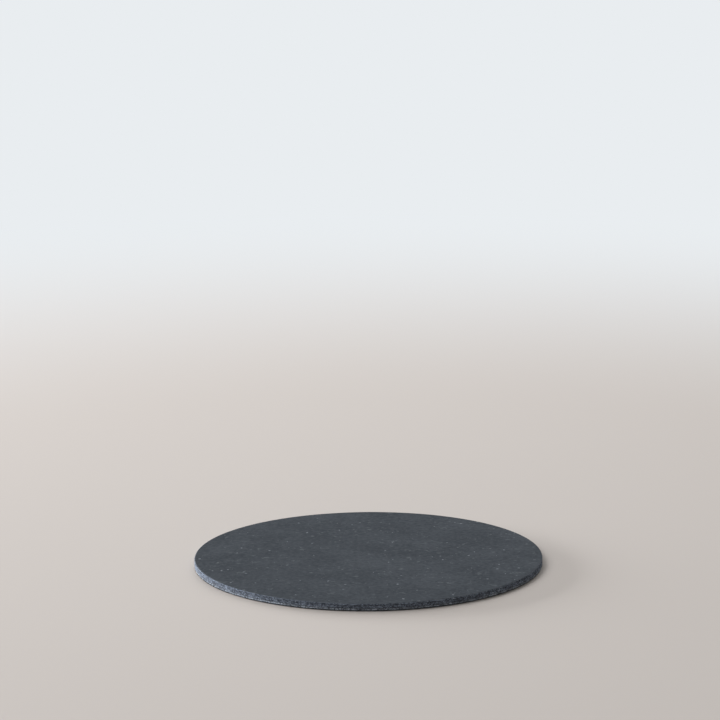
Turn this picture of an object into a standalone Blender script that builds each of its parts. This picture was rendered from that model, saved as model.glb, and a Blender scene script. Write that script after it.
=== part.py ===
"""Round drink coaster: a pressed laminate of five sheets, cut out with a round die.

Metres, +Z up. The origin is the centre of the underside, so the coaster lies on z = 0.
From the underside up: back skin, adhesive film, fibre core, adhesive film, face skin.
"""

import math

import bmesh
import bpy

# Sheet sizes
DIAMETER = 0.100
BACK_SKIN_THICKNESS = 0.0007
LOWER_FILM_THICKNESS = 0.00008
CORE_THICKNESS = 0.0008
UPPER_FILM_THICKNESS = 0.00008
FACE_SKIN_THICKNESS = 0.0005

# Cut edge: the die rolls the skins' outer rims over, and the softer layers spring back a little
RIM_ROUND = 0.0003
CORE_SETBACK = 0.0001
FILM_SETBACK = 0.0002

# Space kept between two bonded faces
BOND_CLEARANCE = 0.00001

# Fineness of the round shapes, and the bevel profile that is a true arc
SEGMENTS = 144
ROUND_STEPS = 4
ARC_PROFILE = 0.5
SHARP_ANGLE = math.radians(40)

# Finishes: sRGB colour and roughness
SKIN_FINISH = ("4A4F54", 0.75)
CORE_FINISH = ("5E636A", 0.85)
FILM_FINISH = ("2B2A28", 0.45)


def linear(hex_colour):
    """Turns an sRGB hex colour into the linear RGBA that a shader takes."""
    channels = [int(hex_colour[i : i + 2], 16) / 255 for i in (0, 2, 4)]
    return [c / 12.92 if c <= 0.04045 else ((c + 0.055) / 1.055) ** 2.4 for c in channels] + [1.0]


def finish(name, colour_and_roughness):
    """A plain non-metallic surface of the given colour and roughness."""
    colour, roughness = colour_and_roughness
    material = bpy.data.materials.new(name)
    material.use_nodes = True
    shader = material.node_tree.nodes["Principled BSDF"]
    shader.inputs["Base Color"].default_value = linear(colour)
    shader.inputs["Roughness"].default_value = roughness
    shader.inputs["Metallic"].default_value = 0.0
    return material


def disc(thickness, setback):
    """A flat disc from z = 0 up, its edge the given distance inside the die-cut line."""
    shape = bmesh.new()
    radius = DIAMETER / 2 - setback
    bmesh.ops.create_cone(
        shape, cap_ends=True, segments=SEGMENTS, radius1=radius, radius2=radius, depth=thickness
    )
    bmesh.ops.translate(shape, verts=shape.verts, vec=(0, 0, thickness / 2))
    return shape


def round_rim(shape, thickness, top):
    """Rolls over the rim of a disc at its top or at its bottom."""
    middle = thickness / 2
    rim = [edge for edge in shape.edges if all((v.co.z > middle) == top for v in edge.verts)]
    bmesh.ops.bevel(
        shape,
        geom=rim,
        offset=min(RIM_ROUND, thickness),
        offset_type="OFFSET",
        segments=ROUND_STEPS,
        profile=ARC_PROFILE,
        affect="EDGES",
    )


def layer(name, shape, level, material, stack):
    """Makes a named sheet from its shape and lays it in the stack at a level."""
    mesh = bpy.data.meshes.new(name)
    shape.to_mesh(mesh)
    shape.free()
    mesh.materials.append(material)
    mesh.shade_smooth()
    mesh.set_sharp_from_angle(angle=SHARP_ANGLE)
    sheet = bpy.data.objects.new(name, mesh)
    sheet.location.z = level
    sheet.parent = stack
    bpy.context.scene.collection.objects.link(sheet)


def main():
    for old in list(bpy.data.objects):
        bpy.data.objects.remove(old)

    stack = bpy.data.objects.new("coaster", None)
    bpy.context.scene.collection.objects.link(stack)

    # Height of each sheet's underside, from the bottom of the stack up
    lower_film_level = BACK_SKIN_THICKNESS + BOND_CLEARANCE
    core_level = lower_film_level + LOWER_FILM_THICKNESS + BOND_CLEARANCE
    upper_film_level = core_level + CORE_THICKNESS + BOND_CLEARANCE
    face_level = upper_film_level + UPPER_FILM_THICKNESS + BOND_CLEARANCE

    back_skin = disc(BACK_SKIN_THICKNESS, 0)
    round_rim(back_skin, BACK_SKIN_THICKNESS, top=False)
    layer("back_skin", back_skin, 0, finish("back_skin_finish", SKIN_FINISH), stack)

    lower_film = disc(LOWER_FILM_THICKNESS, FILM_SETBACK)
    lower_finish = finish("lower_film_finish", FILM_FINISH)
    layer("lower_adhesive_film", lower_film, lower_film_level, lower_finish, stack)

    core = disc(CORE_THICKNESS, CORE_SETBACK)
    layer("fibre_core", core, core_level, finish("core_finish", CORE_FINISH), stack)

    upper_film = disc(UPPER_FILM_THICKNESS, FILM_SETBACK)
    upper_finish = finish("upper_film_finish", FILM_FINISH)
    layer("upper_adhesive_film", upper_film, upper_film_level, upper_finish, stack)

    face_skin = disc(FACE_SKIN_THICKNESS, 0)
    round_rim(face_skin, FACE_SKIN_THICKNESS, top=True)
    layer("face_skin", face_skin, face_level, finish("face_skin_finish", SKIN_FINISH), stack)


main()
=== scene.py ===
import math

import bpy
import numpy as np
from mathutils import Euler, Matrix, Vector, noise


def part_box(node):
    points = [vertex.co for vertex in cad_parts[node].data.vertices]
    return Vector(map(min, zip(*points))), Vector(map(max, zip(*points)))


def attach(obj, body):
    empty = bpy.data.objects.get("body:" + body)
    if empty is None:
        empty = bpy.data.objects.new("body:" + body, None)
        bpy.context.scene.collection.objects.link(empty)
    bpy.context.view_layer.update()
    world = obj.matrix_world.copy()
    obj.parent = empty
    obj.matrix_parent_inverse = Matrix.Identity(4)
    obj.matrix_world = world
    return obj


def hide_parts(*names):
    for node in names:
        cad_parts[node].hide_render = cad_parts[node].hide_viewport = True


bl_info = {
    "name": "Drink coaster",
    "version": (1, 0, 0),
    "blender": (4, 5, 0),
    "location": "View3D > Sidebar > Coaster",
    "description": "Dresses the coaster's sheets: coated faces, a granular cut edge and fine glue lines",
    "category": "Object",
}

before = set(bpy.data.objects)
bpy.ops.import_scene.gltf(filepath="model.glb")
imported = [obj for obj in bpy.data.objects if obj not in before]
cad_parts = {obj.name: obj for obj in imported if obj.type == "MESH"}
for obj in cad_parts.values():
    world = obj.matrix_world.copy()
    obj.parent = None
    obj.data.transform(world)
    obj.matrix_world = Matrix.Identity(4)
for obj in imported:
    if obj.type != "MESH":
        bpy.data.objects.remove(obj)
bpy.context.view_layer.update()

BODY = "root"

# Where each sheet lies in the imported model, and the radius of the round die that cut them out
FACE_LOW, FACE_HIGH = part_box("face_skin")
UPPER_LOW, UPPER_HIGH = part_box("upper_adhesive_film")
CORE_LOW, CORE_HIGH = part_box("fibre_core")
LOWER_LOW, LOWER_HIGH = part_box("lower_adhesive_film")
BACK_LOW, BACK_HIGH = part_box("back_skin")
DIE_RADIUS = FACE_HIGH.x

# Fineness of the meshes: the step along the cut edge, the steps round a rolled rim, the rings beside it, and
# further rings that grow wider towards the middle of a face
EDGE_STEP = 0.00011
ARC_STEPS = 6
FACE_RINGS = (0.0003, 0.0002, 0.0001)
SHOWN_GROWTH, SHOWN_WIDEST = 1.6, 0.0012
HIDDEN_GROWTH, HIDDEN_WIDEST = 2.2, 0.012
LEAST_SIDES = 6

# Flat map of a piece: a skin lies as one disc, a wall in rows, and a hidden face as a smaller disc
MAP_NAME = "OFBake"
MAP_REACH = 0.495
MAP_ROWS = 12
ROW_LENGTH = 0.98
ROW_GAP = 0.006
CORNER_DISC = ((0.07, 0.07), 0.06)
TOP_DISC = ((0.25, 0.79), 0.2)
BOTTOM_DISC = ((0.75, 0.79), 0.2)

# Relief of the cut: how near its border a crumb falls off, what is left of its height and tone in the gap
# (the tone there is painted shade), the scale of its own roughness, the swing of the patches, and what its
# height and its tone are made up of
CRUMB_BORDER = 0.35
CRUMB_FOOT = 0.35
ROUGH_SCALE = 3.1
PATCH_SWING = 0.42
HEIGHT_BASE, HEIGHT_DRAW, HEIGHT_ROUGH = 0.25, 0.55, 0.2
TONE_BASE, TONE_DRAW = 0.15, 0.85

# The grain sets in at this share of its depth where a rim starts to roll
ROLL_GRAIN = 0.15

# A crumb's draw is the fraction of a large sine of its place, and scaling the place gives another draw
DRAW_WAVES = (12.9898, 78.233, 37.719)
DRAW_SCALE = 43758.5453
OTHER_DRAW = 1.7

# Tone of the cut: the share of the fine grain, and the tones that show the crumbs and then the pale fibre
FINE_SHARE = 0.5
CRUMB_TONES = {"From Min": 0.25, "From Max": 1.1}
PALE_TONES = {"From Min": 1.16, "From Max": 1.36}
CUT_DEPTH = 0.00001
CUT_ROUGHNESS = 0.85
CUT_SPECULAR = 0.12

# Coat: the share of the clouds, and the sum of mottle and clouds that runs from the dark to the light tone
CLOUD_SHARE = 0.6
COAT_TONES = {"From Min": 0.62, "From Max": 0.98}
MOTTLE_DEPTH, PORE_DEPTH, NIB_DEPTH = 0.00002, 0.000008, 0.00004
PORE_RANGE = {"From Min": 0.3, "From Max": 0.7}
COAT_ROUGHNESS = {"To Min": 0.72, "To Max": 0.84}
COAT_SPECULAR = 0.02
LEATHER_IOR = 1.5

# Pattern offsets, so that the two skins differ and no pattern starts at the middle of a face
FACE_SHIFT = (0.23, 0.41, 0.0)
BACK_SHIFT = (0.67, 0.17, 0.0)

# Specks and nibs: their soft border, as a share of the largest radius
SPOT_BORDER = 0.25

# Stray fibres follow one level of a smooth field, and a second field breaks them into lengths
FIBRE_WANDER = 0.8
FIBRE_LEVEL = 0.5
FIBRE_WIDTH = 0.03
BREAK_SCALE = 1.4
BREAK_RANGE = {"From Min": 0.55, "From Max": 0.63}
FIBRE_SHARE = 0.8

# Rim: how far round the roll the coat reaches, where the rim colour is painted on in patches (a painted
# highlight on the face's roll, painted shade on the underside's, which the coat carries nearly all the way
# round), how much its notches and the crumbs below it hold the cut back, and the stretch along which the
# coat, so held, gives way to the cut
FACE_COAT_END = 0.6
BACK_COAT_END = 0.95
RIM_PAINT_TURN = {"From Min": 0.0, "From Max": 0.4}
RIM_PAINT_PATCHES = {"From Min": 0.3, "From Max": 0.55}
NOTCH_HOLD = -0.5
CRUMB_HOLD = -0.3
CUT_START, CUT_FULL = -0.57, -0.37

# Glue
FILM_ROUGHNESS = {"To Min": 0.35, "To Max": 0.6}
ACRYLIC_IOR = 1.47

# Sockets of the Mix node when it mixes colours
MIX_SHARE, MIX_FROM, MIX_TO, MIX_COLOUR = 0, 6, 7, 2

# Soft sources: turn about the vertical and rise above the floor in degrees, distance and size in metres
SOURCES = {
    "left": {"turn": 188, "rise": 50, "away": 1.8, "size": (1.4, 1.2)},
    "low": {"turn": 150, "rise": 6, "away": 1.5, "size": (1.5, 0.3)},
    "back": {"turn": 82, "rise": 30, "away": 1.8, "size": (1.4, 1.2)},
    "under": {"turn": 270, "rise": -60, "away": 1.5, "size": (1.2, 1.2)},
}

# Floor: half its side, its drop below the underside, the length of ray that still passes through it, its
# roughness, and the distances between which it fades into the backdrop
FLOOR_SIDE = 6.0
FLOOR_DROP = 0.0001
FLOOR_OPEN = 0.00018
FLOOR_ROUGHNESS = 0.9
FADE_RANGE = {"From Min": 0.2, "From Max": 0.55}

# The photograph's frame and where the middle of the underside lies in it, in pixels, and the width of the
# camera's sensor in millimetres
FRAME_PIXELS = 720
FOOT_PIXEL = (368.42, 563.14)
SENSOR = 36.0


def linear(hex_colour):
    """Turns an sRGB hex colour into the linear RGB that a shader takes."""
    channels = [int(hex_colour[i : i + 2], 16) / 255 for i in (0, 2, 4)]
    return [c / 12.92 if c <= 0.04045 else ((c + 0.055) / 1.055) ** 2.4 for c in channels]


def rgba(tint):
    """A colour setting as the four numbers that a colour socket takes."""
    return (*tint, 1.0)


def length_prop(label, says, size):
    """A length in metres."""
    return bpy.props.FloatProperty(
        name=label, description=says, default=size, min=0.0, precision=5, unit="LENGTH"
    )


def colour_prop(label, says, hex_colour):
    """A colour, written in sRGB and kept linear."""
    return bpy.props.FloatVectorProperty(
        name=label, description=says, default=linear(hex_colour), subtype="COLOR", min=0.0, max=1.0
    )


def share_prop(label, says, share):
    """A share from 0 to 1."""
    return bpy.props.FloatProperty(
        name=label, description=says, default=share, min=0.0, max=1.0, subtype="FACTOR"
    )


def strength_prop(label, says, strength):
    """The strength of a light."""
    return bpy.props.FloatProperty(name=label, description=says, default=strength, min=0.0)


def angle_prop(label, says, degrees):
    """An angle, written in degrees and kept in radians."""
    return bpy.props.FloatProperty(
        name=label, description=says, default=math.radians(degrees), subtype="ANGLE"
    )


class CoasterSkinSettings(bpy.types.PropertyGroup):
    """Sizes and colours of the coated skins."""

    dark: colour_prop("Face, dark", "Darker tone of the coated face", "383C40")
    light: colour_prop("Face, light", "Lighter tone of the coated face", "484C50")
    speck: colour_prop("Speck", "Bare pale fibre that shows through the coat", "84888C")
    nib: colour_prop("Nib", "Rubbed top of a small lump under the coat", "5D6163")
    # Painted highlight: the face's rolled rim is given a lighter tone for the light that it catches
    rim: colour_prop("Rim", "Rubbed tone of the face's rolled rim", "686D72")
    # Painted shade: the underside's rolled rim is darkened for the shadow where it meets the floor
    under_rim_shade: colour_prop("Under rim", "Dark tone of the underside's rolled rim", "141518")
    rim_round: length_prop("Rim round", "Radius that the die rolls the outer rims over to", 0.0003)
    mottle: length_prop("Mottle", "Width of the pressed fibre bundles under the coat", 0.0012)
    cloud: length_prop("Cloud", "Width of the slow changes in tone", 0.014)
    # Real pores are about 0.1 mm wide, too fine to show, and are drawn as coarse as they need to show
    pore: length_prop("Pore", "Width of the fine pores of the coat, as drawn", 0.00035)
    drift: length_prop("Drift", "How far the outlines of specks and fibres wander", 0.0005)
    speck_spacing: length_prop("Speck spacing", "Distance between places where a speck may show", 0.0033)
    speck_radius: length_prop("Speck radius", "Radius of the largest specks", 0.00034)
    speck_share: share_prop("Speck share", "Share of those places that have a speck", 0.19)
    nib_spacing: length_prop("Nib spacing", "Distance between places where a nib may show", 0.0040)
    nib_radius: length_prop("Nib radius", "Radius of the largest nibs", 0.0005)
    nib_share: share_prop("Nib share", "Share of those places that have a nib", 0.3)
    fibre: length_prop("Fibre", "Distance between stray fibres", 0.0035)
    wave: length_prop("Wave depth", "How far the face dips between its high places", 0.00003)
    wave_length: length_prop("Wave length", "Distance between the face's high places", 0.011)


class CoasterEdgeSettings(bpy.types.PropertyGroup):
    """Sizes and colours of the die-cut edge and the glue lines."""

    pit: colour_prop("Pit", "Shaded pits between the crumbs of fibre", "1B1C20")
    crumb: colour_prop("Crumb", "Cut crumbs of the core's bonded fibre", "8892A1")
    face_crumb: colour_prop("Face crumb", "Cut crumbs of the face skin", "8F9AAA")
    back_crumb: colour_prop("Back crumb", "Cut crumbs of the back skin, which are paler", "AFB8C3")
    pale: colour_prop("Pale fibre", "Undyed fibre ends in the cut", "ADB1B6")
    glue: colour_prop("Glue", "Adhesive film, greyed by the fibre dust of the cut", "535558")
    crumb_length: length_prop("Crumb length", "Crumb size along the edge", 0.0004)
    crumb_height: length_prop("Crumb height", "Crumb size across the board, pressed flat", 0.00026)
    patch_length: length_prop("Patch length", "Width of the darker and paler patches", 0.0022)
    # Real fibre ends are about 0.03 mm wide, too fine to show, and are drawn as coarse as they need to show
    fine: length_prop("Fine grain", "Width of the single fibre ends, as drawn", 0.00012)
    coat_line: length_prop("Coat line", "Width of the notches in the line where the coat ends", 0.0012)
    relief: length_prop("Relief", "Depth of the cut edge's grain on the core", 0.00007)
    skin_relief: length_prop("Skin relief", "Depth of the cut edge's grain on the skins", 0.00005)
    film_setback: length_prop("Film setback", "How far the glue lines lie inside the cut line", 0.0001)


class CoasterStageSettings(bpy.types.PropertyGroup):
    """Studio floor, light and camera."""

    floor: colour_prop("Floor", "Plain pale floor", "C6BDB4")
    backdrop: colour_prop("Backdrop", "What the floor fades to in the distance", "E9EDF0")
    day: colour_prop("Daylight", "Faint cool tint of the soft sources", "F6F9FF")
    left: strength_prop("Left", "Brightness that the high source on the left gives to white", 0.57)
    low: strength_prop("Low", "Brightness that the low source on the left gives to white", 2.35)
    back: strength_prop("Back", "Brightness that the source behind gives to white", 0.46)
    under: strength_prop("Under", "Brightness that the source below the floor gives to white", 0.8)
    fill: strength_prop("Fill", "Brightness of the even light from all round", 0.28)
    lens: bpy.props.FloatProperty(
        name="Lens", description="Focal length of the camera, in millimetres", default=200.0, unit="CAMERA"
    )
    distance: length_prop("Camera distance", "From the camera to the middle of the underside", 1.1516)
    elevation: angle_prop("Camera elevation", "Angle of the line of sight above the floor", 15.38)
    roll: angle_prop("Camera roll", "Turn of the camera about its line of sight", -0.418)


def add(tree, kind, inputs=None, out=None, **settings):
    """Adds a node with its settings, sets or links its inputs, and gives the node or one of its outputs."""
    made = tree.nodes.new(kind)
    for name, value in settings.items():
        setattr(made, name, value)
    for name, value in (inputs or {}).items():
        if isinstance(value, bpy.types.NodeSocket):
            tree.links.new(value, made.inputs[name])
        else:
            made.inputs[name].default_value = value
    return made if out is None else made.outputs[out]


def new_material(name):
    """An empty material and the tree of its nodes."""
    material = bpy.data.materials.new(name)
    material.use_nodes = True
    material.node_tree.nodes.clear()
    return material, material.node_tree


def cut_fibre(tree, place, edge, crumb):
    """(colour, tone) of die-cut fibre: each crumb has its own tone, with dark pits and a few pale ends."""
    fine = add(
        tree,
        "ShaderNodeTexNoise",
        {"Vector": place, "Scale": 1 / edge.fine, "Detail": 2.0, "Roughness": 0.6},
        out="Fac",
    )
    grain = add(tree, "ShaderNodeAttribute", out="Fac", attribute_name="tone")
    tone = add(tree, "ShaderNodeMath", {0: fine, 1: FINE_SHARE, 2: grain}, out=0, operation="MULTIPLY_ADD")
    body = add(tree, "ShaderNodeMapRange", {"Value": tone, **CRUMB_TONES}, out="Result")
    pale = add(tree, "ShaderNodeMapRange", {"Value": tone, **PALE_TONES}, out="Result")
    crumbs = add(
        tree,
        "ShaderNodeMix",
        {MIX_SHARE: body, MIX_FROM: rgba(edge.pit), MIX_TO: rgba(crumb)},
        out=MIX_COLOUR,
        data_type="RGBA",
    )
    shown = add(
        tree,
        "ShaderNodeMix",
        {MIX_SHARE: pale, MIX_FROM: crumbs, MIX_TO: rgba(edge.pale)},
        out=MIX_COLOUR,
        data_type="RGBA",
    )
    return shown, tone


def spots(tree, place, spacing, radius, chance):
    """Spots of all sizes up to a radius, one to a cell. Chance is the share of cells that have one."""
    cell = add(
        tree, "ShaderNodeTexVoronoi", {"Vector": place, "Scale": 1 / spacing}, voronoi_dimensions="2D"
    )
    draw = add(tree, "ShaderNodeSeparateColor", {"Color": cell.outputs["Color"]}, out="Blue")
    reach = add(
        tree,
        "ShaderNodeMapRange",
        {"Value": draw, "From Min": 1 - chance, "From Max": 1.0, "To Max": radius / spacing},
        out="Result",
    )
    inside = add(
        tree, "ShaderNodeMath", {0: reach, 1: cell.outputs["Distance"]}, out=0, operation="SUBTRACT"
    )
    return add(
        tree,
        "ShaderNodeMapRange",
        {"Value": inside, "From Min": 0.0, "From Max": SPOT_BORDER * radius / spacing},
        out="Result",
        interpolation_type="SMOOTHSTEP",
    )


def stray_fibres(tree, place, spacing):
    """Thin wandering lines, broken into short lengths."""
    hills = add(
        tree,
        "ShaderNodeTexNoise",
        {"Vector": place, "Scale": 1 / spacing, "Detail": 0.0, "Distortion": FIBRE_WANDER},
        out="Fac",
    )
    side = add(tree, "ShaderNodeMath", {0: hills, 1: FIBRE_LEVEL}, out=0, operation="SUBTRACT")
    away = add(tree, "ShaderNodeMath", {0: side}, out=0, operation="ABSOLUTE")
    line = add(
        tree,
        "ShaderNodeMapRange",
        {"Value": away, "From Max": FIBRE_WIDTH, "To Min": 1.0, "To Max": 0.0},
        out="Result",
    )
    patch = add(
        tree,
        "ShaderNodeTexNoise",
        {"Vector": place, "Scale": BREAK_SCALE / spacing, "Detail": 0.0},
        out="Fac",
    )
    kept = add(tree, "ShaderNodeMapRange", {"Value": patch, **BREAK_RANGE}, out="Result")
    return add(tree, "ShaderNodeMath", {0: line, 1: kept}, out=0, operation="MULTIPLY")


def bare_coat(tree, place, skin):
    """(colour, mottle) of the bare coat: the fibre bundles below it show as a mottle, in slow clouds."""
    mottle = add(
        tree,
        "ShaderNodeTexNoise",
        {"Vector": place, "Scale": 1 / skin.mottle, "Detail": 4.0, "Roughness": 0.62},
        out="Fac",
    )
    cloud = add(
        tree, "ShaderNodeTexNoise", {"Vector": place, "Scale": 1 / skin.cloud, "Detail": 2.0}, out="Fac"
    )
    both = add(
        tree, "ShaderNodeMath", {0: cloud, 1: CLOUD_SHARE, 2: mottle}, out=0, operation="MULTIPLY_ADD"
    )
    tone = add(tree, "ShaderNodeMapRange", {"Value": both, **COAT_TONES}, out="Result")
    coat = add(
        tree,
        "ShaderNodeMix",
        {MIX_SHARE: tone, MIX_FROM: rgba(skin.dark), MIX_TO: rgba(skin.light)},
        out=MIX_COLOUR,
        data_type="RGBA",
    )
    return coat, mottle


def marked_coat(tree, place, coat, skin):
    """(colour, nib) of the coat with its stray fibres, nibs and specks, whose outlines wander."""
    # The noise runs from 0 to 1, so twice the drift moves an outline by the drift to either side
    drift = 2 * skin.drift
    sway = add(
        tree, "ShaderNodeTexNoise", {"Vector": place, "Scale": 1 / skin.drift, "Detail": 2.0}, out="Color"
    )
    moved = add(
        tree,
        "ShaderNodeVectorMath",
        {0: sway, 1: (drift, drift, 0.0), 2: place},
        out=0,
        operation="MULTIPLY_ADD",
    )
    fibre = stray_fibres(tree, moved, skin.fibre)
    nib = spots(tree, moved, skin.nib_spacing, skin.nib_radius, skin.nib_share)
    speck = spots(tree, moved, skin.speck_spacing, skin.speck_radius, skin.speck_share)
    worn = add(tree, "ShaderNodeMath", {0: fibre, 1: FIBRE_SHARE, 2: nib}, out=0, operation="MULTIPLY_ADD")
    rubbed = add(
        tree,
        "ShaderNodeMix",
        {MIX_SHARE: worn, MIX_FROM: coat, MIX_TO: rgba(skin.nib)},
        out=MIX_COLOUR,
        data_type="RGBA",
    )
    flecked = add(
        tree,
        "ShaderNodeMix",
        {MIX_SHARE: speck, MIX_FROM: rubbed, MIX_TO: rgba(skin.speck)},
        out=MIX_COLOUR,
        data_type="RGBA",
    )
    return flecked, nib


def cut_rim(tree, place, coat, coat_end, rim, crumb, edge):
    """Colour of a skin round its rim: in patches the roll takes the rim colour, a painted highlight on the
    face's rim and painted shade on the underside's, and where the coat ends the cut fibre shows along a
    ragged line."""
    cut = add(tree, "ShaderNodeAttribute", out="Fac", attribute_name="cut")
    notch = add(
        tree, "ShaderNodeTexNoise", {"Vector": place, "Scale": 1 / edge.coat_line, "Detail": 2.0}, out="Fac"
    )
    turned = add(tree, "ShaderNodeMapRange", {"Value": cut, **RIM_PAINT_TURN}, out="Result")
    patchy = add(tree, "ShaderNodeMapRange", {"Value": notch, **RIM_PAINT_PATCHES}, out="Result")
    rim_paint = add(tree, "ShaderNodeMath", {0: turned, 1: patchy}, out=0, operation="MULTIPLY")
    # Painted light on the roll: a highlight on the face's rim, shade on the underside's
    rubbed = add(
        tree,
        "ShaderNodeMix",
        {MIX_SHARE: rim_paint, MIX_FROM: coat, MIX_TO: rgba(rim)},
        out=MIX_COLOUR,
        data_type="RGBA",
    )
    fibre, tone = cut_fibre(tree, place, edge, crumb)
    held = add(tree, "ShaderNodeMath", {0: notch, 1: NOTCH_HOLD, 2: cut}, out=0, operation="MULTIPLY_ADD")
    ragged = add(tree, "ShaderNodeMath", {0: tone, 1: CRUMB_HOLD, 2: held}, out=0, operation="MULTIPLY_ADD")
    bare = add(
        tree,
        "ShaderNodeMapRange",
        {"Value": ragged, "From Min": coat_end + CUT_START, "From Max": coat_end + CUT_FULL},
        out="Result",
    )
    return add(
        tree,
        "ShaderNodeMix",
        {MIX_SHARE: bare, MIX_FROM: rubbed, MIX_TO: fibre},
        out=MIX_COLOUR,
        data_type="RGBA",
    )


def coat_surface(tree, place, mottle, nib, skin):
    """(roughness, normal) of the coat, from its mottle, its fine pores and its nibs."""
    pores = add(
        tree,
        "ShaderNodeTexNoise",
        {"Vector": place, "Scale": 1 / skin.pore, "Detail": 2.0, "Roughness": 0.5},
        out="Fac",
    )
    roughness = add(
        tree, "ShaderNodeMapRange", {"Value": pores, **PORE_RANGE, **COAT_ROUGHNESS}, out="Result"
    )
    bundled = add(tree, "ShaderNodeBump", {"Height": mottle, "Distance": MOTTLE_DEPTH}, out="Normal")
    pored = add(
        tree, "ShaderNodeBump", {"Height": pores, "Distance": PORE_DEPTH, "Normal": bundled}, out="Normal"
    )
    relief = add(
        tree, "ShaderNodeBump", {"Height": nib, "Distance": NIB_DEPTH, "Normal": pored}, out="Normal"
    )
    return roughness, relief


def bonded_leather_coated(name, shift, coat_end, rim, crumb, skin, edge):
    """Bonded leather board with a thin matte coat, pressed smooth: a slate grey, softly mottled by the fibre
    bundles below, with fine pores, sparse pale flecks and stray fibres, and at the rim the rim colour in
    patches, which paints a highlight on the face's rim and shade on the underside's."""
    material, tree = new_material(name)
    own = add(tree, "ShaderNodeTexCoord", out="Object")
    place = add(tree, "ShaderNodeVectorMath", {0: own, 1: shift}, out=0, operation="ADD")
    coat, mottle = bare_coat(tree, place, skin)
    marked, nib = marked_coat(tree, place, coat, skin)
    shown = cut_rim(tree, place, marked, coat_end, rim, crumb, edge)
    roughness, relief = coat_surface(tree, place, mottle, nib, skin)
    shader = add(
        tree,
        "ShaderNodeBsdfPrincipled",
        {
            "Base Color": shown,
            "Roughness": roughness,
            "IOR": LEATHER_IOR,
            "Specular IOR Level": COAT_SPECULAR,
            "Normal": relief,
        },
        out="BSDF",
    )
    add(tree, "ShaderNodeOutputMaterial", {"Surface": shader})
    return material


def bonded_leather_cut(edge):
    """Bonded leather board cut with a die: a dull open grain of cut crumbs and pale fibre ends."""
    material, tree = new_material("bonded_leather_die_cut")
    place = add(tree, "ShaderNodeTexCoord", out="Object")
    shown, tone = cut_fibre(tree, place, edge, edge.crumb)
    relief = add(tree, "ShaderNodeBump", {"Height": tone, "Distance": CUT_DEPTH}, out="Normal")
    shader = add(
        tree,
        "ShaderNodeBsdfPrincipled",
        {
            "Base Color": shown,
            "Roughness": CUT_ROUGHNESS,
            "IOR": LEATHER_IOR,
            "Specular IOR Level": CUT_SPECULAR,
            "Normal": relief,
        },
        out="BSDF",
    )
    add(tree, "ShaderNodeOutputMaterial", {"Surface": shader})
    return material


def acrylic_film(edge):
    """Acrylic adhesive film, rolled on: a thin grey line of soft gloss, darker where less dust clings."""
    material, tree = new_material("acrylic_film_rolled")
    place = add(tree, "ShaderNodeTexCoord", out="Object")
    dust = add(
        tree, "ShaderNodeTexNoise", {"Vector": place, "Scale": 1 / edge.coat_line, "Detail": 2.0}, out="Fac"
    )
    shown = add(
        tree,
        "ShaderNodeMix",
        {MIX_SHARE: dust, MIX_FROM: rgba(edge.pit), MIX_TO: rgba(edge.glue)},
        out=MIX_COLOUR,
        data_type="RGBA",
    )
    roughness = add(tree, "ShaderNodeMapRange", {"Value": dust, **FILM_ROUGHNESS}, out="Result")
    shader = add(
        tree,
        "ShaderNodeBsdfPrincipled",
        {"Base Color": shown, "Roughness": roughness, "IOR": ACRYLIC_IOR},
        out="BSDF",
    )
    add(tree, "ShaderNodeOutputMaterial", {"Surface": shader})
    return material


def ring(radius, count):
    """Points evenly round a circle."""
    turn = 2 * math.pi * np.arange(count) / count
    return np.stack([radius * np.cos(turn), radius * np.sin(turn)], 1)


def steady_draw(place):
    """A number from 0 to 1 that is always the same for a place."""
    wave = sum(part * scale for part, scale in zip(place, DRAW_WAVES))
    return math.modf(abs(math.sin(wave)) * DRAW_SCALE)[0]


def cut_grain(points, edge):
    """(height, tone) of the cut grain at each point, each from about 0 to 1: flat crumbs at their own
    levels, with narrow gaps between them, in darker and paler patches."""
    stretch = Vector((1 / edge.crumb_length, 1 / edge.crumb_length, 1 / edge.crumb_height))
    patch_scale = edge.crumb_length / edge.patch_length
    height = np.empty(len(points))
    tone = np.empty(len(points))
    for number, point in enumerate(points):
        place = Vector(point) * stretch
        distances, crumbs = noise.voronoi(place)
        inside = min(1.0, (distances[1] - distances[0]) / CRUMB_BORDER)
        whole = CRUMB_FOOT + (1 - CRUMB_FOOT) * inside
        rough = 0.5 + 0.5 * noise.noise(place * ROUGH_SCALE)
        patch = 1.0 + PATCH_SWING * noise.noise(place * patch_scale)
        own_height = HEIGHT_BASE + HEIGHT_DRAW * steady_draw(crumbs[0]) + HEIGHT_ROUGH * rough
        own_tone = TONE_BASE + TONE_DRAW * steady_draw(crumbs[0] * OTHER_DRAW)
        height[number] = own_height * whole
        # The tone sinks in the gaps as the height does: painted shade between the crumbs
        tone[number] = own_tone * whole * patch
    return height, tone


def waves(places, skin):
    """How far the face lies below its highest level at each place, as a share of the wave depth."""
    hills = [noise.noise(Vector((x, y, 0.0)) / skin.wave_length) for x, y in places]
    return (0.5 + 0.5 * np.array(hills)).clip(0, 1)


def unrolled(high, low):
    """Lays a skin out on the flat map as one disc: from the face's rim, its wall carries on outwards."""
    scale = MAP_REACH / (DIE_RADIUS + abs(high - low))

    def lay(corners):
        x, y, z = np.moveaxis(corners, -1, 0)
        reach = np.hypot(x, y)
        spread = scale * (1 + np.abs(z - high) / np.maximum(reach, EDGE_STEP))
        return 0.5 + np.stack([x * spread, y * spread], -1)

    return lay


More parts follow.
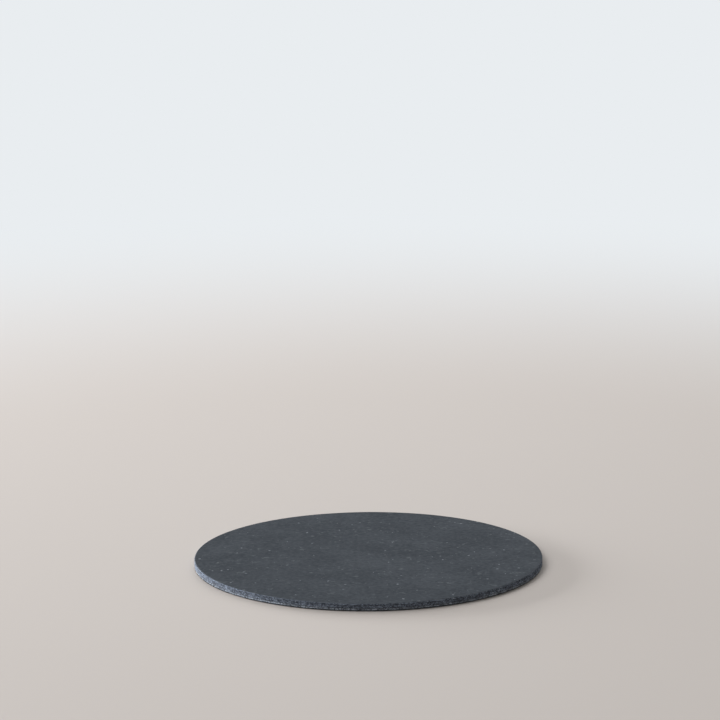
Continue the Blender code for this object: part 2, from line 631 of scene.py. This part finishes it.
def in_rows(high, low):
    """Lays a wall out on the flat map in rows, from the bottom of the map up."""
    scale = ROW_LENGTH * MAP_ROWS / (2 * math.pi * DIE_RADIUS)
    pitch = (high - low) * scale + ROW_GAP

    def lay(corners):
        x, y, z = np.moveaxis(corners, -1, 0)
        turn = np.arctan2(y, x) / (2 * math.pi)
        first = turn[:, :1] % 1
        along = first + (turn - first + 0.5) % 1 - 0.5
        row = np.floor(first * MAP_ROWS)
        across = (along * MAP_ROWS - row) * ROW_LENGTH
        return ROW_GAP + np.stack([across, row * pitch + (high - z) * scale], -1)

    return lay


def tucked(middle, radius):
    """Lays a hidden face out on the flat map as a small disc."""
    return lambda corners: np.array(middle) + corners[..., :2] * radius / DIE_RADIUS


class Sheet:
    """Points and faces of one round sheet, gathered ring by ring and then made into a piece. Each batch of
    faces comes with the function that lays its corners out on the flat map."""

    def __init__(self):
        self.points = np.empty((0, 3))
        self.batches = []

    def add_points(self, points):
        """Adds points and gives their numbers."""
        first = len(self.points)
        self.points = np.concatenate([self.points, points])
        return np.arange(first, len(self.points))

    def band(self, upper, lower, lay):
        """Joins two rings of as many points, one above the other, with faces that point outwards."""
        faces = np.stack([upper, lower, np.roll(lower, -1), np.roll(upper, -1)], 1)
        self.batches.append((faces, lay))

    def stitch(self, outer, inner, up, lay):
        """Joins two rings of unlike counts that lie in one face, or a ring and a point, with triangles. Each
        triangle goes one step along the ring that lags behind."""
        faces = []
        outer_sides = len(outer)
        inner_sides = len(inner) if len(inner) > 1 else 0
        outer_step = 0
        inner_step = 0
        while outer_step < outer_sides or inner_step < inner_sides:
            start = outer[outer_step % outer_sides]
            across = inner[inner_step % len(inner)]
            outer_lags = (outer_step + 1) * inner_sides <= (inner_step + 1) * outer_sides
            if inner_step == inner_sides or (outer_step < outer_sides and outer_lags):
                outer_step += 1
                corners = [start, outer[outer_step % outer_sides], across]
            else:
                inner_step += 1
                corners = [start, inner[inner_step % len(inner)], across]
            faces.append(corners if up else corners[::-1])
        self.batches.append((np.array(faces), lay))

    def cap(self, rim, level, up, lay, growth, widest, dip=None):
        """Fills a rim with rings that grow wider towards the middle, sunk by a dip where one is given."""

        def sunk(places):
            depth = dip(places) if dip else np.zeros(len(places))
            return np.column_stack([places, level - depth])

        step = EDGE_STEP * growth
        radius = float(np.hypot(*self.points[rim, :2].T).min()) - step
        outer = rim
        while radius > step:
            sides = max(LEAST_SIDES, round(2 * math.pi * radius / step))
            inner = self.add_points(sunk(ring(radius, sides)))
            self.stitch(outer, inner, up, lay)
            outer = inner
            step = min(step * growth, widest)
            radius -= step
        middle = self.add_points(sunk(np.zeros((1, 2))))
        self.stitch(outer, middle, up, lay)

    def piece(self, name, material, **values):
        """The sheet as an object, with one number a point under each of the given names."""
        mesh = bpy.data.meshes.new(name)
        faces = [corners for batch, _ in self.batches for corners in batch.tolist()]
        mesh.from_pydata(self.points.tolist(), [], faces)
        flat = np.concatenate([lay(self.points[batch]).reshape(-1, 2) for batch, lay in self.batches])
        mesh.uv_layers.new(name=MAP_NAME).uv.foreach_set("vector", flat.astype(np.float32).ravel())
        for label, numbers in values.items():
            padded = np.zeros(len(self.points), np.float32)
            padded[: len(numbers)] = numbers
            mesh.attributes.new(label, "FLOAT", "POINT").data.foreach_set("value", padded)
        mesh.materials.append(material)
        mesh.shade_smooth()
        made = bpy.data.objects.new(name, mesh)
        bpy.context.scene.collection.objects.link(made)
        return made


def dress(piece, node):
    """Lets a piece stand for its sheet."""
    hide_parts(node)
    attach(piece, BODY)


def wall_points(profile):
    """Rings of points for a profile of (setback from the cut line, height), one after the other."""
    count = round(2 * math.pi * DIE_RADIUS / EDGE_STEP)
    return [np.column_stack([ring(DIE_RADIUS - back, count), np.full(count, z)]) for back, z in profile]


def sunk_inwards(points, depth):
    """Points moved towards the disc's axis by a depth each."""
    moved = points.copy()
    moved[:, :2] *= (1 - depth / DIE_RADIUS)[:, None]
    return moved


def spaced(high, low, step):
    """Levels from high to low, about a step apart."""
    return np.linspace(high, low, max(2, round(abs(high - low) / step) + 1))


def rolled_rim(high, low, size):
    """Profile of a skin's rim as rows of (setback, height, lean, cut). It runs from the outer face at high,
    round the rolled rim, to the square corner at low. Lean is how far the surface has turned outwards, and
    cut how far the place lies round the roll and on down the wall, in lengths of the roll."""
    toward = math.copysign(1.0, low - high)
    rows = [(size + back, high, 0.0, 0.0) for back in FACE_RINGS]
    for lean in np.linspace(0, math.pi / 2, ARC_STEPS + 1):
        back = size * (1 - math.sin(lean))
        down = size * (1 - math.cos(lean))
        rows.append((back, high + toward * down, lean, 2 * lean / math.pi))
    if abs(low - high) > size + EDGE_STEP / 2:
        for z in spaced(high + toward * size, low, EDGE_STEP)[1:]:
            below = abs(z - high) - size
            rows.append((0.0, z, math.pi / 2, 1 + 2 * below / (math.pi * size)))
    return np.array(rows)


def make_skin(context, name, node, high, low, material):
    """A skin with its outer face at high and its bonded face at low, whichever is up."""
    skin = context.scene.coaster_skin
    edge = context.scene.coaster_edge
    up = high > low
    outward = 1.0 if up else -1.0
    profile = rolled_rim(high, low, min(skin.rim_round, abs(high - low)))
    rings = wall_points(profile[:, :2])
    lean, cut = (np.repeat(column, len(rings[0])) for column in profile[:, 2:].T)
    points = np.concatenate(rings)
    height, tone = cut_grain(points, edge)

    def dip(places):
        return outward * skin.wave * waves(places, skin)

    # The grain sinks the surface inwards along its own normal; the face only dips in slow waves
    depth = edge.skin_relief * (1 - height) * np.clip(cut + ROLL_GRAIN, 0, 1) * (cut > 0)
    points = sunk_inwards(points, depth * np.sin(lean))
    points[:, 2] -= outward * depth * np.cos(lean)
    points[:, 2] -= dip(points[:, :2]) * np.clip(1 - cut, 0, 1)

    sheet = Sheet()
    numbers = np.split(sheet.add_points(points), len(rings))
    shown = unrolled(high, low)
    for outer, inner in zip(numbers, numbers[1:]):
        upper, lower = (outer, inner) if up else (inner, outer)
        sheet.band(upper, lower, shown)
    sheet.cap(numbers[0], high, up, shown, SHOWN_GROWTH, SHOWN_WIDEST, dip)
    sheet.cap(numbers[-1], low, not up, tucked(*CORNER_DISC), HIDDEN_GROWTH, HIDDEN_WIDEST)
    dress(sheet.piece(name, material, cut=cut, tone=tone), node)


def make_wall_sheet(name, node, slot, rings, high, low, material, **values):
    """A sheet of which only the wall shows: rings of the wall from the top down, and two hidden faces."""
    sheet = Sheet()
    numbers = np.split(sheet.add_points(np.concatenate(rings)), len(rings))
    for upper, lower in zip(numbers, numbers[1:]):
        sheet.band(upper, lower, in_rows(high, low))
    sheet.cap(numbers[0], high, True, tucked(*TOP_DISC), HIDDEN_GROWTH, HIDDEN_WIDEST)
    sheet.cap(numbers[-1], low, False, tucked(*BOTTOM_DISC), HIDDEN_GROWTH, HIDDEN_WIDEST)
    dress(sheet.piece(name, material, **values), node)


class COASTER_OT_face_skin(bpy.types.Operator):
    """Make the coated skin of the upper face, with its rolled rim"""

    bl_idname = "coaster.face_skin"
    bl_label = "Face skin"
    bl_options = {"REGISTER", "UNDO"}

    def execute(self, context):
        skin = context.scene.coaster_skin
        edge = context.scene.coaster_edge
        material = bonded_leather_coated(
            "face_sheet_bonded_leather_coated",
            FACE_SHIFT,
            FACE_COAT_END,
            # The face's rim colour is a painted highlight
            skin.rim,
            edge.face_crumb,
            skin,
            edge,
        )
        make_skin(context, "face_sheet", "face_skin", FACE_HIGH.z, FACE_LOW.z, material)
        return {"FINISHED"}


class COASTER_OT_back_skin(bpy.types.Operator):
    """Make the coated skin of the underside, with its rolled rim"""

    bl_idname = "coaster.back_skin"
    bl_label = "Back skin"
    bl_options = {"REGISTER", "UNDO"}

    def execute(self, context):
        skin = context.scene.coaster_skin
        edge = context.scene.coaster_edge
        material = bonded_leather_coated(
            "back_sheet_bonded_leather_coated",
            BACK_SHIFT,
            BACK_COAT_END,
            # The underside's rim colour is painted shade
            skin.under_rim_shade,
            edge.back_crumb,
            skin,
            edge,
        )
        make_skin(context, "back_sheet", "back_skin", BACK_LOW.z, BACK_HIGH.z, material)
        return {"FINISHED"}


class COASTER_OT_fibre_core(bpy.types.Operator):
    """Make the fibre core with the open grain of its die-cut edge"""

    bl_idname = "coaster.fibre_core"
    bl_label = "Fibre core"
    bl_options = {"REGISTER", "UNDO"}

    def execute(self, context):
        edge = context.scene.coaster_edge
        levels = spaced(CORE_HIGH.z, CORE_LOW.z, EDGE_STEP)
        points = np.concatenate(wall_points([(0.0, z) for z in levels]))
        height, tone = cut_grain(points, edge)
        points = sunk_inwards(points, edge.relief * (1 - height))
        make_wall_sheet(
            "core_board",
            "fibre_core",
            "fibre_core",
            np.split(points, len(levels)),
            CORE_HIGH.z,
            CORE_LOW.z,
            bonded_leather_cut(edge),
            tone=tone,
        )
        return {"FINISHED"}


class COASTER_OT_adhesive_films(bpy.types.Operator):
    """Make the two films of adhesive that bond the skins to the core"""

    bl_idname = "coaster.adhesive_films"
    bl_label = "Adhesive films"
    bl_options = {"REGISTER", "UNDO"}

    def execute(self, context):
        edge = context.scene.coaster_edge
        material = acrylic_film(edge)
        films = (("upper", UPPER_HIGH, UPPER_LOW), ("lower", LOWER_HIGH, LOWER_LOW))
        for side, high, low in films:
            levels = (high.z, low.z)
            points = np.concatenate(wall_points([(edge.film_setback, z) for z in levels]))
            uneven = np.array([noise.noise(Vector(point) / edge.crumb_length) for point in points])
            points = sunk_inwards(points, edge.skin_relief * np.abs(uneven))
            make_wall_sheet(
                side + "_glue_line",
                side + "_adhesive_film",
                "adhesive_film",
                np.split(points, len(levels)),
                high.z,
                low.z,
                material,
            )
        return {"FINISHED"}


class COASTER_OT_stage(bpy.types.Operator):
    """Make the plain floor, the soft light and the camera"""

    bl_idname = "coaster.stage"
    bl_label = "Stage"
    bl_options = {"REGISTER", "UNDO"}

    def execute(self, context):
        stage = context.scene.coaster_stage
        self.make_floor(context, stage)
        for name, source in SOURCES.items():
            self.make_source(context, name, getattr(stage, name), stage.day, **source)
        self.make_world(context, stage)
        self.make_camera(context, stage)
        context.scene.view_settings.view_transform = "Standard"
        return {"FINISHED"}

    def seen(self, tree, path):
        """1 for a ray that shows the backdrop: from the camera, a reflection or through a clear body."""
        kinds = [path.outputs[name] for name in ("Is Camera Ray", "Is Glossy Ray", "Is Transmission Ray")]
        either = add(tree, "ShaderNodeMath", {0: kinds[0], 1: kinds[1]}, out=0, operation="MAXIMUM")
        return add(tree, "ShaderNodeMath", {0: either, 1: kinds[2]}, out=0, operation="MAXIMUM")

    def floor_paint(self, stage):
        """Matte paint that fades into the backdrop far off. From below it is clear, and it lets light
        through to what lies close above it, so that the underside can be looked at."""
        material, tree = new_material("painted_floor_matte")
        path = add(tree, "ShaderNodeLightPath")
        place = add(tree, "ShaderNodeTexCoord", out="Object")
        away = add(tree, "ShaderNodeVectorMath", {0: place}, out="Value", operation="LENGTH")
        far = add(
            tree,
            "ShaderNodeMapRange",
            {"Value": away, **FADE_RANGE},
            out="Result",
            interpolation_type="SMOOTHSTEP",
        )
        fade = add(tree, "ShaderNodeMath", {0: far, 1: self.seen(tree, path)}, out=0, operation="MULTIPLY")
        paint = add(
            tree,
            "ShaderNodeBsdfPrincipled",
            {"Base Color": rgba(stage.floor), "Roughness": FLOOR_ROUGHNESS},
            out="BSDF",
        )
        glow = add(tree, "ShaderNodeEmission", {"Color": rgba(stage.backdrop)}, out="Emission")
        top = add(tree, "ShaderNodeMixShader", {0: fade, 1: paint, 2: glow}, out="Shader")
        below = add(tree, "ShaderNodeNewGeometry", out="Backfacing")
        near = add(
            tree,
            "ShaderNodeMath",
            {0: path.outputs["Ray Length"], 1: FLOOR_OPEN},
            out=0,
            operation="LESS_THAN",
        )
        clear = add(tree, "ShaderNodeMath", {0: below, 1: near}, out=0, operation="MAXIMUM")
        gone = add(tree, "ShaderNodeBsdfTransparent", out="BSDF")
        whole = add(tree, "ShaderNodeMixShader", {0: clear, 1: top, 2: gone}, out="Shader")
        add(tree, "ShaderNodeOutputMaterial", {"Surface": whole})
        return material

    def make_floor(self, context, stage):
        """A wide pale floor just below the underside."""
        corners = [(-1, -1, 0), (1, -1, 0), (1, 1, 0), (-1, 1, 0)]
        mesh = bpy.data.meshes.new("floor")
        mesh.from_pydata((np.array(corners) * FLOOR_SIDE).tolist(), [], [(0, 1, 2, 3)])
        mesh.materials.append(self.floor_paint(stage))
        floor = bpy.data.objects.new("floor", mesh)
        floor.location.z = BACK_LOW.z - FLOOR_DROP
        context.scene.collection.objects.link(floor)

    def make_source(self, context, name, strength, tint, turn, rise, away, size):
        """A rectangular source that faces the coaster. A matte white that faces it is as bright as the
        strength says: such a source of power P gives it P / (pi * away)**2."""
        lamp = bpy.data.lights.new(name + "_source", "AREA")
        lamp.shape = "RECTANGLE"
        lamp.size, lamp.size_y = size
        lamp.energy = strength * math.pi**2 * away**2
        lamp.color = tint
        source = bpy.data.objects.new(name + "_source", lamp)
        turned = Euler((0, -math.radians(rise), math.radians(turn))).to_matrix()
        source.location = turned @ Vector((away, 0, 0))
        source.rotation_euler = (-source.location).to_track_quat("-Z", "Y").to_euler()
        source.visible_camera = False
        context.scene.collection.objects.link(source)

    def make_world(self, context, stage):
        """Even light from all round, and the pale backdrop where it is seen."""
        world = bpy.data.worlds.new("studio")
        world.use_nodes = True
        tree = world.node_tree
        tree.nodes.clear()
        path = add(tree, "ShaderNodeLightPath")
        even = add(tree, "ShaderNodeBackground", {"Strength": stage.fill}, out="Background")
        backdrop = add(tree, "ShaderNodeBackground", {"Color": rgba(stage.backdrop)}, out="Background")
        mixed = add(
            tree, "ShaderNodeMixShader", {0: self.seen(tree, path), 1: even, 2: backdrop}, out="Shader"
        )
        add(tree, "ShaderNodeOutputWorld", {"Surface": mixed})
        context.scene.world = world

    def make_camera(self, context, stage):
        """A camera that shows the middle of the underside at its place in the photograph's frame."""
        lens = bpy.data.cameras.new("camera")
        lens.sensor_width = SENSOR
        lens.lens = stage.lens
        camera = bpy.data.objects.new("camera", lens)
        ahead = Vector((0, math.cos(stage.elevation), -math.sin(stage.elevation)))
        camera.location = -ahead * stage.distance
        pixels = stage.lens / SENSOR * FRAME_PIXELS
        middle = FRAME_PIXELS / 2
        foot = Vector(((FOOT_PIXEL[0] - middle) / pixels, (middle - FOOT_PIXEL[1]) / pixels, -1))
        foot.rotate(Matrix.Rotation(stage.roll, 3, "Z"))
        tilt = stage.elevation + math.atan(foot.y)
        turn = math.atan(foot.x) / math.cos(stage.elevation)
        upright = Euler((math.pi / 2 - tilt, 0, turn)).to_matrix()
        camera.rotation_euler = (upright @ Matrix.Rotation(stage.roll, 3, "Z")).to_euler()
        context.scene.collection.objects.link(camera)
        context.scene.camera = camera


class COASTER_PT_panel(bpy.types.Panel):
    """Sizes, colours and makers of the coaster's pieces"""

    bl_label = "Coaster"
    bl_idname = "COASTER_PT_panel"
    bl_space_type = "VIEW_3D"
    bl_region_type = "UI"
    bl_category = "Coaster"

    def draw(self, context):
        for settings in SETTINGS:
            group = getattr(context.scene, settings)
            box = self.layout.box()
            for name in group.bl_rna.properties.keys():
                if name not in ("rna_type", "name"):
                    box.prop(group, name)
        for operator in OPERATORS:
            self.layout.operator(operator.bl_idname)


SETTINGS = {
    "coaster_skin": CoasterSkinSettings,
    "coaster_edge": CoasterEdgeSettings,
    "coaster_stage": CoasterStageSettings,
}
OPERATORS = (
    COASTER_OT_face_skin,
    COASTER_OT_adhesive_films,
    COASTER_OT_fibre_core,
    COASTER_OT_back_skin,
    COASTER_OT_stage,
)
CLASSES = (*SETTINGS.values(), *OPERATORS, COASTER_PT_panel)


def register():
    for made in CLASSES:
        bpy.utils.register_class(made)
    for name, group in SETTINGS.items():
        setattr(bpy.types.Scene, name, bpy.props.PointerProperty(type=group))


def unregister():
    for name in SETTINGS:
        delattr(bpy.types.Scene, name)
    for made in reversed(CLASSES):
        bpy.utils.unregister_class(made)


def main():
    register()
    bpy.ops.coaster.face_skin()
    bpy.ops.coaster.adhesive_films()
    bpy.ops.coaster.fibre_core()
    bpy.ops.coaster.back_skin()
    bpy.ops.coaster.stage()


if __name__ == "__main__":
    main()
